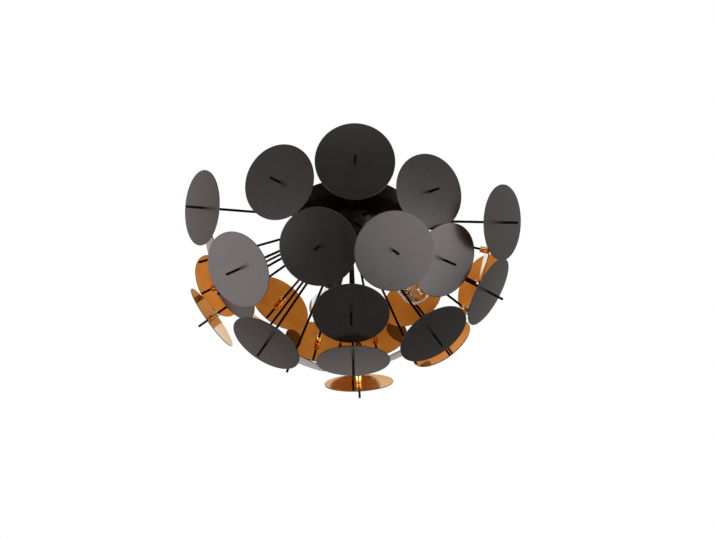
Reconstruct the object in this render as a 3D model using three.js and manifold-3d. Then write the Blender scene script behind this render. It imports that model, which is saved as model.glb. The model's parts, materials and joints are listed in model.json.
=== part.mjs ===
// Starburst ceiling lamp: a black ceiling cup and hub dome, 31 rods that each carry one disc,
// and three small screw-base bulbs inside the basket of discs.
// Millimetres and degrees, +Z up. The origin is the middle of the bracket face that meets the ceiling.
// Turns are measured about the vertical from -Y towards +X, tilts from straight down.
import * as THREE from "three";
import { mergeVertices } from "three/addons/utils/BufferGeometryUtils.js";
import Module from "manifold-3d";

const wasm = await Module();
wasm.setup();

// Gap between pieces that touch, and between a screw or rod and its hole.
const clearance = 0.3;
// Drills and cutters run this far past the surface that they come out of.
const overrun = 1;
const weldDistance = 1e-4;

// Ceiling cup: a flat sheet-metal drum, open towards the ceiling.
const cupRadius = 80;
const cupHeight = 23;
const cupWall = 1.5;
const cupCorner = 3;
const cupSides = 40;

// Bracket: a bent strip screwed to the ceiling, with a tab down at each end for the cup.
const bracketWidth = 22;
const bracketSheet = 2;
const bracketBend = 4;
const bracketTabDrop = 17;
const slotWidth = 5;
const slotLength = 20;
const slotFromMiddle = 52;
const earthHoleRadius = 2;
const earthHoleFromMiddle = 28;

// Knurled screws that hold the cup to the bracket tabs.
const cupScrewRadius = 2;
const cupScrewDrop = 11.5;
const cupScrewPastTab = 3;
const screwSides = 8;
const knurlRadius = 4.5;
const knurlDepth = 0.5;
const knurlLength = 5;
const knurlTeeth = 16;

// Three-way terminal block under the bracket.
const blockLength = 30;
const blockWidth = 17;
const blockHeight = 12;
const blockShoulder = 3;
const blockWays = 3;
const blockFromMiddle = 20;
const wireBoreRadius = 1.7;
const screwWellRadius = 2;
const screwWellDepth = 5;

// Hub dome: a cast spherical shell closed by a plate that lies flat under the cup.
const domeRadius = 40;
const domeWall = 5;
const domePlate = 1.5;
const domeSides = 22;
const domeSteps = 6;
// The sphere's centre lies this far above the face of its plate.
const domeCentreRise = 1.5;

// Hollow bolt and nut that hang the dome from the cup's floor.
const hubBoltRadius = 5;
const hubBoltBore = 3.2;
const hubHexAcross = 17;
const hubHeadHeight = 3;
const hubNutHeight = 5;
const hubBoltPastNut = 1.5;

// Rods, discs and sleeves. A rod is screwed into the dome's wall and runs through its disc,
// and a sleeve behind the disc holds it there.
const rodRadius = 1.5;
const rodInWall = 3.7;
const rodTip = 21.5;
const rodSides = 6;
const discRadius = 50;
const discSheet = 1.2;
const discSides = 26;
const sleeveRadius = 4.5;
const sleeveLength = 11;
const sleeveSides = 8;
// Wider discs need longer rods to clear each other, so the mean reach follows the disc.
const reachPerDiscRadius = 4.5;
const meanReach = discRadius * reachPerDiscRadius;
// Rods are cut longer or shorter than that by a number of these steps.
const reachStep = 1;

// Rings of rods. Each rod is set by hand, so it leans from its ring's even spacing by its own bend,
// and long and short rods alternate so that neighbouring discs overlap in view without touching.
const rings = [
  {
    name: "upper_disc",
    firstTurn: 2,
    tilt: 77,
    turnBends: [0, -0.5, -3, 2.5, 7, -1.5, -1, 4.5, -7.5, 4, 0, 2.5],
    tiltBends: [2.5, -1, -4, -0.5, 5, -4, -1, -5.5, 5.5, -6, 3, 2],
    reachSteps: [26, -20, 21, -25, 28, -33, 17, -30, 26, -23, 10, -13],
  },
  {
    name: "middle_disc",
    firstTurn: 15,
    tilt: 56,
    turnBends: [-1, 0, 3, -1.5, 6, 5, 1.5, 9.5, -3.5, 4, 1, 3],
    tiltBends: [-1, -2, -1.5, -3.5, 2.5, 3, 3, -6.5, 5, -2.5, -1, -1],
    reachSteps: [49, -11, 8, -14, 19, -15, -5, -22, 18, -12, 28, 9],
  },
  {
    name: "lower_disc",
    firstTurn: 0,
    tilt: 31,
    turnBends: [-0.5, 1.5, 2.5, -3, 0.5, -7.5],
    tiltBends: [-4.5, 0, -3.5, 3.5, -4, 0],
    reachSteps: [-17, 12, -21, 14, -12, 16],
  },
  {
    name: "bottom_disc",
    firstTurn: 0,
    tilt: 0,
    turnBends: [1.5],
    tiltBends: [2],
    reachSteps: [-6],
  },
];

// Lamp holders stand out of the dome between the rods: [turn, tilt].
const lampAims = [
  [-155, 44],
  [98, 40],
  [-30, 39],
];

// Lamp holder arm: a threaded tube with a hexagon that seats on the dome.
const armRadius = 5;
const armBore = 3.2;
const armPastWall = 3.5;
const armInHolder = 6;
const armHexAcross = 14;
const armHexHeight = 3.5;
const armFree = 8.3;
const armSides = 10;

// Lamp holder: a moulded body with a neck for the arm and a socket for the bulb.
const holderNeckRadius = 8;
const holderNeckLength = 4;
const holderShoulderLength = 14;
const holderRadius = 14;
const holderSocketFloor = 21.4;
const holderMouthDepth = 5.5;
const holderMouthSlack = 0.7;
const holderGroove = 0.8;
const holderGroovePitch = 3;
const holderGrooves = 2;
const holderSides = 14;

// Brass thread shell in the holder, and the bulb's cap that screws into it.
const capRadius = 6.95;
const capThreadLength = 15.8;
const capSkirtRadius = 8.5;
const capSkirtLength = 5.6;
const capSkirtWall = 0.6;
const capEdge = 1.8;
const shellWall = 0.7;
const shellLength = 17.7;
const shellHoleRadius = 4.4;
const capSides = 14;

// Foot contact on its glass insulator.
const contactRadius = 1.8;
const contactLength = 1.7;
const insulatorRadius = 4;

// Golf-ball glass, and the glass stem with its filament.
const glassRadius = 22.5;
const glassWall = 0.8;
const glassFillet = 8;
const glassNeckToMiddle = 35.5;
const glassSides = 14;
const stemFlare = 1.2;
const stemRadius = 2.4;
const stemHeight = 20;
const stemSides = 8;
const filamentRise = 18;
const filamentSpread = 9;
const filamentWire = 0.5;

// Derived heights and sizes of the ceiling side.
const cupUnderside = -(clearance + cupHeight);
const cupFloorTop = cupUnderside + cupWall;
const platePlane = cupUnderside - clearance;
const hubCentre = platePlane + domeCentreRise;
const cupInnerRadius = cupRadius - cupWall;
const bracketReach = Math.sqrt(cupInnerRadius ** 2 - (bracketWidth / 2) ** 2) - clearance;

const radians = THREE.MathUtils.degToRad;

// A closed geometry as a solid that can be joined to others or cut by them.
function solidOf(geometry) {
  const bare = geometry.clone();
  bare.deleteAttribute("normal");
  bare.deleteAttribute("uv");
  const merged = mergeVertices(bare, weldDistance);
  const triVerts = new Uint32Array(merged.index.array);
  const vertProperties = merged.attributes.position.array;
  return new wasm.Manifold(new wasm.Mesh({ numProp: 3, vertProperties, triVerts }));
}

// A solid as a geometry again.
function geometryOf(solid) {
  const mesh = solid.getMesh();
  const geometry = new THREE.BufferGeometry();
  geometry.setAttribute("position", new THREE.BufferAttribute(mesh.vertProperties, 3));
  geometry.setIndex(new THREE.BufferAttribute(mesh.triVerts, 1));
  geometry.computeVertexNormals();
  return geometry;
}

// The first geometry joined with the others.
function joined(first, ...others) {
  return geometryOf(others.reduce((solid, other) => solid.add(solidOf(other)), solidOf(first)));
}

// The body with each cutter taken away.
function cut(body, ...cutters) {
  return geometryOf(cutters.reduce((solid, cutter) => solid.subtract(solidOf(cutter)), solidOf(body)));
}

// A turned form about Z from a profile of [radius, height] points.
function turned(profile, sides) {
  const points = profile.map(([radius, height]) => new THREE.Vector2(radius, height));
  return new THREE.LatheGeometry(points, sides).rotateX(Math.PI / 2);
}

// A prism about Z between two heights.
function prism(radius, bottom, top, sides) {
  const geometry = new THREE.CylinderGeometry(radius, radius, top - bottom, sides);
  return geometry.rotateX(Math.PI / 2).translate(0, 0, (top + bottom) / 2);
}

// A six-sided prism about Z, given across its flats.
function hexagon(across, bottom, top) {
  return prism(across / 2 / Math.cos(Math.PI / 6), bottom, top, 6);
}

// A drill about Z whose flats clear a round of the given radius.
function drill(radius, bottom, top, sides) {
  return prism((radius + clearance) / Math.cos(Math.PI / sides), bottom, top, sides);
}

// Points on an arc of a profile, both ends included.
function arc(radius, height, size, fromDegrees, toDegrees, steps) {
  return Array.from({ length: steps + 1 }, (_, i) => {
    const angle = radians(fromDegrees + ((toDegrees - fromDegrees) * i) / steps);
    return [radius + size * Math.cos(angle), height + size * Math.sin(angle)];
  });
}

// The rotation that aims local +Z out of the hub at a turn and a tilt.
function aimOf(turn, tilt) {
  return new THREE.Euler(Math.PI - radians(tilt), 0, radians(turn), "ZYX");
}

function aimed(geometry, turn, tilt) {
  return geometry.applyMatrix4(new THREE.Matrix4().makeRotationFromEuler(aimOf(turn, tilt)));
}

function finish(color, roughness, metalness) {
  return new THREE.MeshStandardMaterial({ color, roughness, metalness });
}

const blackLacquer = finish(0x1b1917, 0.45, 0.2);
const glossBlack = finish(0x0e0e0f, 0.25, 0.2);
const mirrorGold = finish(0xd8a35c, 0.15, 1);
const blackPlastic = finish(0x141414, 0.5, 0);
const zincSteel = finish(0xb5b8ba, 0.4, 1);
const nickel = finish(0xc9c4b8, 0.25, 1);
const brass = finish(0xc79a4b, 0.3, 1);
const whitePlastic = finish(0xe9e6dc, 0.5, 0);
const clearGlass = new THREE.MeshStandardMaterial({
  color: 0xe9eef0,
  roughness: 0.02,
  metalness: 0,
  transparent: true,
  opacity: 0.3,
});

function piece(name, geometry, material) {
  const mesh = new THREE.Mesh(geometry, material);
  mesh.name = name;
  return mesh;
}

// Every rod of every ring, with its final turn, tilt and reach to the disc's outer face.
const rods = rings.flatMap((ring) =>
  ring.turnBends.map((bend, i) => ({
    name: ring.turnBends.length > 1 ? ring.name + "_" + String(i + 1).padStart(2, "0") : ring.name,
    turn: ring.firstTurn + (360 / ring.turnBends.length) * i + bend,
    tilt: ring.tilt + ring.tiltBends[i],
    reach: meanReach + ring.reachSteps[i] * reachStep,
  })),
);

// Ceiling cup with a rounded lower edge, a hole for the hub bolt and one each side for its screws.
function cupGeometry() {
  const hole = hubBoltRadius + clearance;
  const innerCorner = Math.max(cupCorner - cupWall, clearance);
  const profile = [
    [hole, cupUnderside],
    ...arc(cupRadius - cupCorner, cupUnderside + cupCorner, cupCorner, -90, 0, 2),
    [cupRadius, -clearance],
    [cupInnerRadius, -clearance],
    ...arc(cupInnerRadius - innerCorner, cupFloorTop + innerCorner, innerCorner, 0, -90, 1),
    [hole, cupFloorTop],
    [hole, cupUnderside],
  ];
  const screwDrill = drill(cupScrewRadius, -cupRadius - overrun, cupRadius + overrun, screwSides);
  return cut(turned(profile, cupSides), screwDrill.rotateX(Math.PI / 2).translate(0, 0, -cupScrewDrop));
}

// Bracket strip: bent sheet, slots for the ceiling screws, an earth hole and a hole in each tab.
function bracketGeometry() {
  const end = bracketReach;
  const bend = bracketBend;
  const inner = bend - bracketSheet;
  const profile = new THREE.Shape();
  profile.moveTo(-end, -bracketTabDrop);
  profile.lineTo(-end, -bend);
  profile.absarc(-end + bend, -bend, bend, Math.PI, Math.PI / 2, true);
  profile.lineTo(end - bend, 0);
  profile.absarc(end - bend, -bend, bend, Math.PI / 2, 0, true);
  profile.lineTo(end, -bracketTabDrop);
  profile.lineTo(end - bracketSheet, -bracketTabDrop);
  profile.lineTo(end - bracketSheet, -bend);
  profile.absarc(end - bend, -bend, inner, 0, Math.PI / 2, false);
  profile.lineTo(-end + bend, -bracketSheet);
  profile.absarc(-end + bend, -bend, inner, Math.PI / 2, Math.PI, false);
  profile.lineTo(-end + bracketSheet, -bracketTabDrop);
  profile.closePath();
  const strip = new THREE.ExtrudeGeometry(profile, {
    depth: bracketWidth,
    bevelEnabled: false,
    curveSegments: 2,
  });
  const alongX = new THREE.Matrix4().makeBasis(
    new THREE.Vector3(0, 1, 0),
    new THREE.Vector3(0, 0, 1),
    new THREE.Vector3(1, 0, 0),
  );
  strip.applyMatrix4(alongX).translate(-bracketWidth / 2, 0, 0);

  const slotOutline = new THREE.Shape();
  const half = slotLength / 2 - slotWidth / 2;
  slotOutline.absarc(0, half, slotWidth / 2, 0, Math.PI, false);
  slotOutline.absarc(0, -half, slotWidth / 2, Math.PI, 2 * Math.PI, false);
  slotOutline.closePath();
  const slots = [-1, 1].map((side) =>
    new THREE.ExtrudeGeometry(slotOutline, {
      depth: bracketSheet * 3,
      bevelEnabled: false,
      curveSegments: 3,
    }).translate(0, side * slotFromMiddle, -bracketSheet * 2),
  );
  const tabDrill = drill(cupScrewRadius, -end - overrun, end + overrun, screwSides);
  const earthDrill = drill(earthHoleRadius, -bracketSheet * 2, bracketSheet, screwSides);
  return cut(
    strip,
    ...slots,
    tabDrill.rotateX(Math.PI / 2).translate(0, 0, -cupScrewDrop),
    earthDrill.translate(0, -earthHoleFromMiddle, 0),
  );
}

// Knurled screw along +Z from its tip; its head seats on the cup's side.
function cupScrewGeometry() {
  const tip = bracketReach - bracketSheet - cupScrewPastTab;
  const seat = cupRadius + clearance;
  const outline = new THREE.Shape();
  for (let i = 0; i < knurlTeeth * 2; i++) {
    const angle = (Math.PI * i) / knurlTeeth;
    const radius = knurlRadius - (i % 2) * knurlDepth;
    const point = [radius * Math.cos(angle), radius * Math.sin(angle)];
    if (i === 0) outline.moveTo(...point);
    else outline.lineTo(...point);
  }
  outline.closePath();
  const head = new THREE.ExtrudeGeometry(outline, { depth: knurlLength, bevelEnabled: false });
  return joined(prism(cupScrewRadius, tip, seat + knurlLength / 2, screwSides), head.translate(0, 0, seat));
}

// Terminal block: stepped moulding with a wire bore and a screw well for each way.
function terminalBlockGeometry() {
  const top = -bracketSheet - clearance;
  const bottom = top - blockHeight;
  const half = blockWidth / 2;
  const profile = new THREE.Shape();
  profile.moveTo(-half, top);
  profile.lineTo(-half, bottom + blockShoulder * 2);
  profile.lineTo(-half + blockShoulder, bottom);
  profile.lineTo(half - blockShoulder, bottom);
  profile.lineTo(half, bottom + blockShoulder * 2);
  profile.lineTo(half, top);
  profile.closePath();
  const block = new THREE.ExtrudeGeometry(profile, { depth: blockLength, bevelEnabled: false });
  block.rotateX(Math.PI / 2).translate(0, blockFromMiddle + blockLength / 2, 0);
  const pitch = blockLength / blockWays;
  const middle = (top + bottom) / 2;
  const cutters = [];
  for (let i = 0; i < blockWays; i++) {
    const y = blockFromMiddle - blockLength / 2 + pitch * (i + 0.5);
    const bore = prism(wireBoreRadius, -blockWidth, blockWidth, 6).rotateY(Math.PI / 2);
    cutters.push(bore.translate(0, y, middle));
    for (const side of [-1, 1]) {
      const well = prism(screwWellRadius, bottom - overrun, bottom + screwWellDepth, 6);
      cutters.push(well.translate((side * blockWidth) / 5, y, 0));
    }
  }
  return cut(block, ...cutters);
}

// Hub dome about its sphere's centre, with a blind hole for every rod and a through hole for every
// lamp holder arm.
function domeGeometry() {
  const plate = -domeCentreRise;
  const plateInside = plate - domePlate;
  const inner = domeRadius - domeWall;
  const hole = hubBoltRadius + clearance;
  const outerStart = THREE.MathUtils.radToDeg(Math.asin(plate / domeRadius));
  const innerStart = THREE.MathUtils.radToDeg(Math.asin(plateInside / inner));
  const profile = [
    ...arc(0, 0, domeRadius, -90, outerStart, domeSteps),
    [hole, plate],
    [hole, plateInside],
    ...arc(0, 0, inner, innerStart, -90, domeSteps),
  ];
  profile[0][0] = 0;
  profile[profile.length - 1][0] = 0;
  const outside = domeRadius + 1;
  const holeFloor = domeRadius - rodInWall - clearance;
  const rodDrills = rods.map(({ turn, tilt }) =>
    aimed(drill(rodRadius, holeFloor, outside, rodSides), turn, tilt),
  );
  const armDrills = lampAims.map(([turn, tilt]) =>
    aimed(drill(armRadius, inner - armPastWall, outside, armSides), turn, tilt),
  );
  return cut(turned(profile, domeSides), ...rodDrills, ...armDrills);
}

// Hub bolt: hollow, with its head on the cup's floor.
function hubBoltGeometry() {
  const seat = cupFloorTop + clearance;
  const end = platePlane - domePlate - clearance - hubNutHeight - hubBoltPastNut;
  return cut(
    joined(
      prism(hubBoltRadius, end, seat + hubHeadHeight / 2, 16),
      hexagon(hubHexAcross, seat, seat + hubHeadHeight),
    ),
    prism(hubBoltBore, end - 1, seat + hubHeadHeight + 1, 12),
  );
}

function hubNutGeometry() {
  const top = platePlane - domePlate - clearance;
  const bottom = top - hubNutHeight;
  return cut(hexagon(hubHexAcross, bottom, top), drill(hubBoltRadius, bottom - 1, top + 1, 16));
}

// One rod with its disc and sleeve, along +Z from the hub's centre.
function rodAndDiscGeometry(reach) {
  const inside = domeRadius - rodInWall;
  const discBack = reach - discSheet;
  return joined(
    prism(rodRadius, inside, reach + rodTip, rodSides),
    prism(sleeveRadius, discBack - sleeveLength, discBack + discSheet / 2, sleeveSides),
    prism(discRadius, discBack, reach, discSides),
  );
}

// Distances of the lamp's pieces along its axis, from the hub's centre.
const armHexSeat = Math.sqrt(domeRadius ** 2 - (armRadius + clearance) ** 2) + clearance;
const holderBack = armHexSeat + armHexHeight + armFree;
const armEnd = holderBack + armInHolder;
const socketFloor = armEnd + clearance + holderSocketFloor;
const shellBottom = socketFloor + clearance;
const shellTop = shellBottom + shellLength;
const holderMouth = shellTop + holderMouthDepth;
const contactTip = shellBottom + clearance;
const capBottom = contactTip + contactLength + clearance;
const capFlare = capBottom + capThreadLength;
const flareRise = capSkirtRadius - capRadius;
const capInsideFloor = capFlare + flareRise + clearance;
const neckBottom = capInsideFloor + clearance;
const neckRadius = capSkirtRadius - capSkirtWall - clearance;
const glassMiddle = neckBottom + glassNeckToMiddle;

// Hollow arm from inside the dome into the holder's neck.
function armGeometry() {
  const inside = domeRadius - domeWall - armPastWall;
  return cut(
    joined(
      prism(armRadius, inside, armEnd, armSides),
      hexagon(armHexAcross, armHexSeat, armHexSeat + armHexHeight),
    ),
    prism(armBore, inside - 1, armEnd + 1, armSides),
  );
}

// Moulded holder: neck, shoulder and grooved body, the arm's hole behind and the socket in front.
function holderGeometry() {
  const bodyStart = holderBack + holderNeckLength + holderShoulderLength;
  const armHole = (armRadius + clearance) / Math.cos(Math.PI / holderSides);
  const socketRadius = capRadius + clearance + shellWall + clearance;
  const mouthRadius = capSkirtRadius + holderMouthSlack;
  const grooves = [];
  for (let i = 0; i < holderGrooves; i++) {
    const at = bodyStart + holderGroovePitch * (i + 1);
    grooves.push(
      [holderRadius, at],
      [holderRadius - holderGroove, at + holderGroove],
      [holderRadius, at + holderGroove * 2],
    );
  }
  return turned(
    [
      [0, armEnd + clearance],
      [armHole, armEnd + clearance],
      [armHole, holderBack],
      [holderNeckRadius, holderBack],
      [holderNeckRadius, holderBack + holderNeckLength],
      [(holderNeckRadius + holderRadius) / 2 + 1, holderBack + holderNeckLength + holderShoulderLength / 3],
      [holderRadius, bodyStart],
      ...grooves,
      [holderRadius, holderMouth],
      [mouthRadius, holderMouth],
      [mouthRadius, shellTop],
      [socketRadius, shellTop],
      [socketRadius, socketFloor],
      [0, socketFloor],
    ],
    holderSides,
  );
}

// Brass shell: a thin cup with a hole in its floor for the foot contact.
function shellGeometry() {
  const inner = capRadius + clearance;
  const outer = inner + shellWall;
  return turned(
    [
      [shellHoleRadius, shellBottom],
      [outer, shellBottom],
      [outer, shellTop],
      [inner, shellTop],
      [inner, shellBottom + shellWall],
      [shellHoleRadius, shellBottom + shellWall],
      [shellHoleRadius, shellBottom],
    ],
    capSides,
  );
}

// Bulb cap: threaded barrel, flare, and an open skirt that takes the glass neck.
function capGeometry() {
  const skirtTop = capFlare + flareRise + capSkirtLength;
  const skirtInside = capSkirtRadius - capSkirtWall;
  return turned(
    [
      [0, capBottom],
      [capRadius - capEdge, capBottom],
      [capRadius, capBottom + capEdge],
      [capRadius, capFlare],
      [capSkirtRadius, capFlare + flareRise],
      [capSkirtRadius, skirtTop],
      [skirtInside, skirtTop],
      [skirtInside, capInsideFloor],
      [0, capInsideFloor],
    ],
    capSides,
  );
}

// Foot contact: a button under a cone of insulating glass.
function contactGeometry() {
  const top = contactTip + contactLength;
  return turned(
    [
      [0, contactTip],
      [contactRadius, contactTip],
      [contactRadius + clearance, contactTip + contactLength / 3],
      [insulatorRadius, top - clearance],
      [insulatorRadius, top],
      [0, top],
    ],
    capSides - 4,
  );
}

// Glass: a ball with a filleted neck, open where the cap closes it.
function glassGeometry() {
  const skin = (ball, neck, fillet) => {
    const across = neck + fillet;
    const along = Math.sqrt((ball + fillet) ** 2 - across ** 2);
    const meet = THREE.MathUtils.radToDeg(Math.atan2(along, across));
    return [
      [neck, neckBottom],
      ...arc(across, glassMiddle - along, fillet, 180, 180 - meet, 2),
      ...arc(0, glassMiddle, ball, -meet, 90, 6).slice(1),
    ];
  };
  const outer = skin(glassRadius, neckRadius, glassFillet);
  const inner = skin(glassRadius - glassWall, neckRadius - glassWall, glassFillet + glassWall).reverse();
  inner[0][0] = 0;
  outer[outer.length - 1][0] = 0;
  return turned([...inner, ...outer], glassSides);
}

// Stem with a flared foot in the neck, and a filament held up by its two lead wires.
function stemGeometry() {
  const foot = neckRadius - glassWall - clearance;
  const top = neckBottom + stemHeight;
  const stem = turned(
    [
      [0, neckBottom],
      [foot, neckBottom],
      [foot, neckBottom + stemFlare],
      [stemRadius * 1.5, neckBottom + stemHeight / 4],
      [stemRadius, neckBottom + stemHeight / 2],
      [stemRadius, top - stemRadius],
      [stemRadius * 1.4, top],
      [0, top],
    ],
    stemSides,
  );
  const crest = top + filamentRise;
  const path = new THREE.CatmullRomCurve3(
    [
      new THREE.Vector3(-stemRadius / 2, 0, top - stemRadius),
      new THREE.Vector3(-stemRadius, 0, top + filamentRise / 4),
      new THREE.Vector3(-filamentSpread, 0, crest - filamentRise / 6),
      new THREE.Vector3(-filamentSpread / 2, 0, crest),
      new THREE.Vector3(filamentSpread / 2, 0, crest),
      new THREE.Vector3(filamentSpread, 0, crest - filamentRise / 6),
      new THREE.Vector3(stemRadius, 0, top + filamentRise / 4),
      new THREE.Vector3(stemRadius / 2, 0, top - stemRadius),
    ],
    false,
    "catmullrom",
    0.4,
  );
  const section = new THREE.Shape();
  section.absarc(0, 0, filamentWire, 0, 2 * Math.PI, false);
  const wire = new THREE.ExtrudeGeometry(section, { steps: 12, curveSegments: 3, extrudePath: path });
  return joined(stem, wire);
}

const lamp = new THREE.Group();

const ceilingSide = new THREE.Group();
lamp.add(ceilingSide);
ceilingSide.add(piece("ceiling_bracket", bracketGeometry(), zincSteel));
ceilingSide.add(piece("canopy", cupGeometry(), blackLacquer));
ceilingSide.add(piece("terminal_block", terminalBlockGeometry(), whitePlastic));
ceilingSide.add(piece("hub_bolt", hubBoltGeometry(), zincSteel));
ceilingSide.add(piece("hub_nut", hubNutGeometry(), zincSteel));
for (const [name, side] of [
  ["canopy_screw_front", 1],
  ["canopy_screw_back", -1],
]) {
  const screw = piece(name, cupScrewGeometry(), blackLacquer);
  screw.position.z = -cupScrewDrop;
  screw.rotation.x = (side * Math.PI) / 2;
  ceilingSide.add(screw);
}

const hub = new THREE.Group();
hub.position.z = hubCentre;
lamp.add(hub);
hub.add(piece("hub_dome", domeGeometry(), glossBlack));
for (const { name, turn, tilt, reach } of rods) {
  const rod = piece(name, rodAndDiscGeometry(reach), mirrorGold);
  rod.rotation.copy(aimOf(turn, tilt));
  hub.add(rod);
}

lampAims.forEach(([turn, tilt], i) => {
  const number = "_" + (i + 1);
  const socket = new THREE.Group();
  socket.rotation.copy(aimOf(turn, tilt));
  socket.add(piece("holder_arm" + number, armGeometry(), zincSteel));
  socket.add(piece("lamp_holder" + number, holderGeometry(), blackPlastic));
  socket.add(piece("holder_shell" + number, shellGeometry(), brass));
  const bulb = new THREE.Group();
  bulb.add(piece("bulb_contact" + number, contactGeometry(), brass));
  bulb.add(piece("bulb_cap" + number, capGeometry(), nickel));
  bulb.add(piece("bulb_glass" + number, glassGeometry(), clearGlass));
  bulb.add(piece("bulb_stem" + number, stemGeometry(), nickel));
  socket.add(bulb);
  hub.add(socket);
});

export default lamp;
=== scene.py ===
"""Looks of the starburst ceiling lamp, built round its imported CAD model.

A black ceiling cup and hub dome, 31 black rods that each carry a disc, black outside and mirror
gold inside, and three small clear golf-ball bulbs in black holders. Sizes are in millimetres,
apart from what a comment or docstring gives in metres.
"""

import json
import logging
import math
from collections.abc import Callable, Iterable, Sequence
from dataclasses import dataclass
from enum import Enum

import bmesh
import bpy
from mathutils import Matrix, Vector


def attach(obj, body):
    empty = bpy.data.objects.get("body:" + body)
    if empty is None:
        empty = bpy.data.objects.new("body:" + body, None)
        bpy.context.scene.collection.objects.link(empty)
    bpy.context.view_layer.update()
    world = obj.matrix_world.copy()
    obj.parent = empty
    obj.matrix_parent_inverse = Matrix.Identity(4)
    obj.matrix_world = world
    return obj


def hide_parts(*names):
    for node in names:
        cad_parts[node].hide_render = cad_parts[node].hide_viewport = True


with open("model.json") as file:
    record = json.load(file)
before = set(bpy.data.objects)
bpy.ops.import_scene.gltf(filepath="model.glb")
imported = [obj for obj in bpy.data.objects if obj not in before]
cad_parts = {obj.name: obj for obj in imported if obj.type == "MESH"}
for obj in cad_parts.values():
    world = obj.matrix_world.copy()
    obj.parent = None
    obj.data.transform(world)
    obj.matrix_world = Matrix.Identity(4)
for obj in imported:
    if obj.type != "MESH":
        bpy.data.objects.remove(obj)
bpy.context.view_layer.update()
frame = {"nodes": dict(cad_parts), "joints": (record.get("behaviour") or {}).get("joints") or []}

log = logging.getLogger("ceiling_lamp")

MM = 0.001

# In metres: nearer to the axis is on it, a smaller rise is level, and nearer points are one point.
ON_AXIS = 1e-9
LEVEL = 1e-7
SAME_POINT = 2e-7
SAME_CAD_POINT = 1e-6

# Blender's noise seldom leaves this middle stretch of 0 to 1.
CLOUD_SPAN = {"From Min": 0.3, "From Max": 0.7}

# The Mix node's sockets for colours, which share their names with those for other kinds of value.
COLOUR_A, COLOUR_B, COLOUR_OUT = 6, 7, 2

Profile = Sequence[tuple[float, float]]
Point = tuple[float, float, float]
Socket = bpy.types.NodeSocket


class Slot(Enum):
    """Material slots of the record, listed beside some pieces' finishes; nothing here reads them.
    """

    CUP = "cup_black"
    DOME = "dome_black"
    DISC = "disc_black"
    STEEL = "zinc_steel"
    BLOCK = "white_moulding"
    HOLDER = "holder_black"
    BRASS = "brass"
    NICKEL = "nickel"
    GLASS = "clear_glass"
    STEM = "stem_glass"


class Side(Enum):
    """Which elements of a mesh a selection takes."""

    FACES = "faces"
    EDGES = "edges"
    POINTS = "verts"


def linear(hex_colour: str, alpha: float = 1.0) -> tuple[float, float, float, float]:
    """Turns an sRGB colour into the linear one that a shader socket holds.

    Args:
        hex_colour: Six hex digits.
        alpha: The fourth number of the result.

    Returns:
        Linear red, green and blue, and alpha.
    """
    parts = (int(hex_colour[i : i + 2], 16) / 255 for i in (0, 2, 4))
    red, green, blue = (
        c / 12.92 if c <= 0.04045 else ((c + 0.055) / 1.055) ** 2.4 for c in parts
    )
    return red, green, blue, alpha


def add_node(
    tree: bpy.types.NodeTree, kind: str, inputs: dict | None = None, **settings: object
) -> bpy.types.Node:
    """Adds a node with its settings, its constant inputs and the links that end in it.

    Args:
        tree: The node tree that takes the node.
        kind: Blender's identifier of the node.
        inputs: Socket name or number to a constant, or to the socket that feeds it.
        **settings: Properties of the node itself.

    Returns:
        The new node.
    """
    node = tree.nodes.new(kind)
    for key, value in settings.items():
        setattr(node, key, value)
    for key, value in (inputs or {}).items():
        if isinstance(value, bpy.types.NodeSocket):
            tree.links.new(value, node.inputs[key])
        else:
            node.inputs[key].default_value = value
    return node


def per_size(size_mm: float) -> float:
    """The texture scale at which one feature is this many millimetres wide."""
    return 1 / (size_mm * MM)


def arc(
    middle: tuple[float, float], radius: float, start: float, end: float, steps: int
) -> list[tuple[float, float]]:
    """Points on an arc of a profile.

    Args:
        middle: Centre as (radius, height).
        radius: Size of the arc.
        start: First angle in degrees, counted from outwards to up.
        end: Last angle in degrees.
        steps: Number of chords.

    Returns:
        The arc's points, both ends included.
    """
    angles = (math.radians(start + (end - start) * i / steps) for i in range(steps + 1))
    return [(middle[0] + radius * math.cos(a), middle[1] + radius * math.sin(a)) for a in angles]


# Finishes


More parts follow.
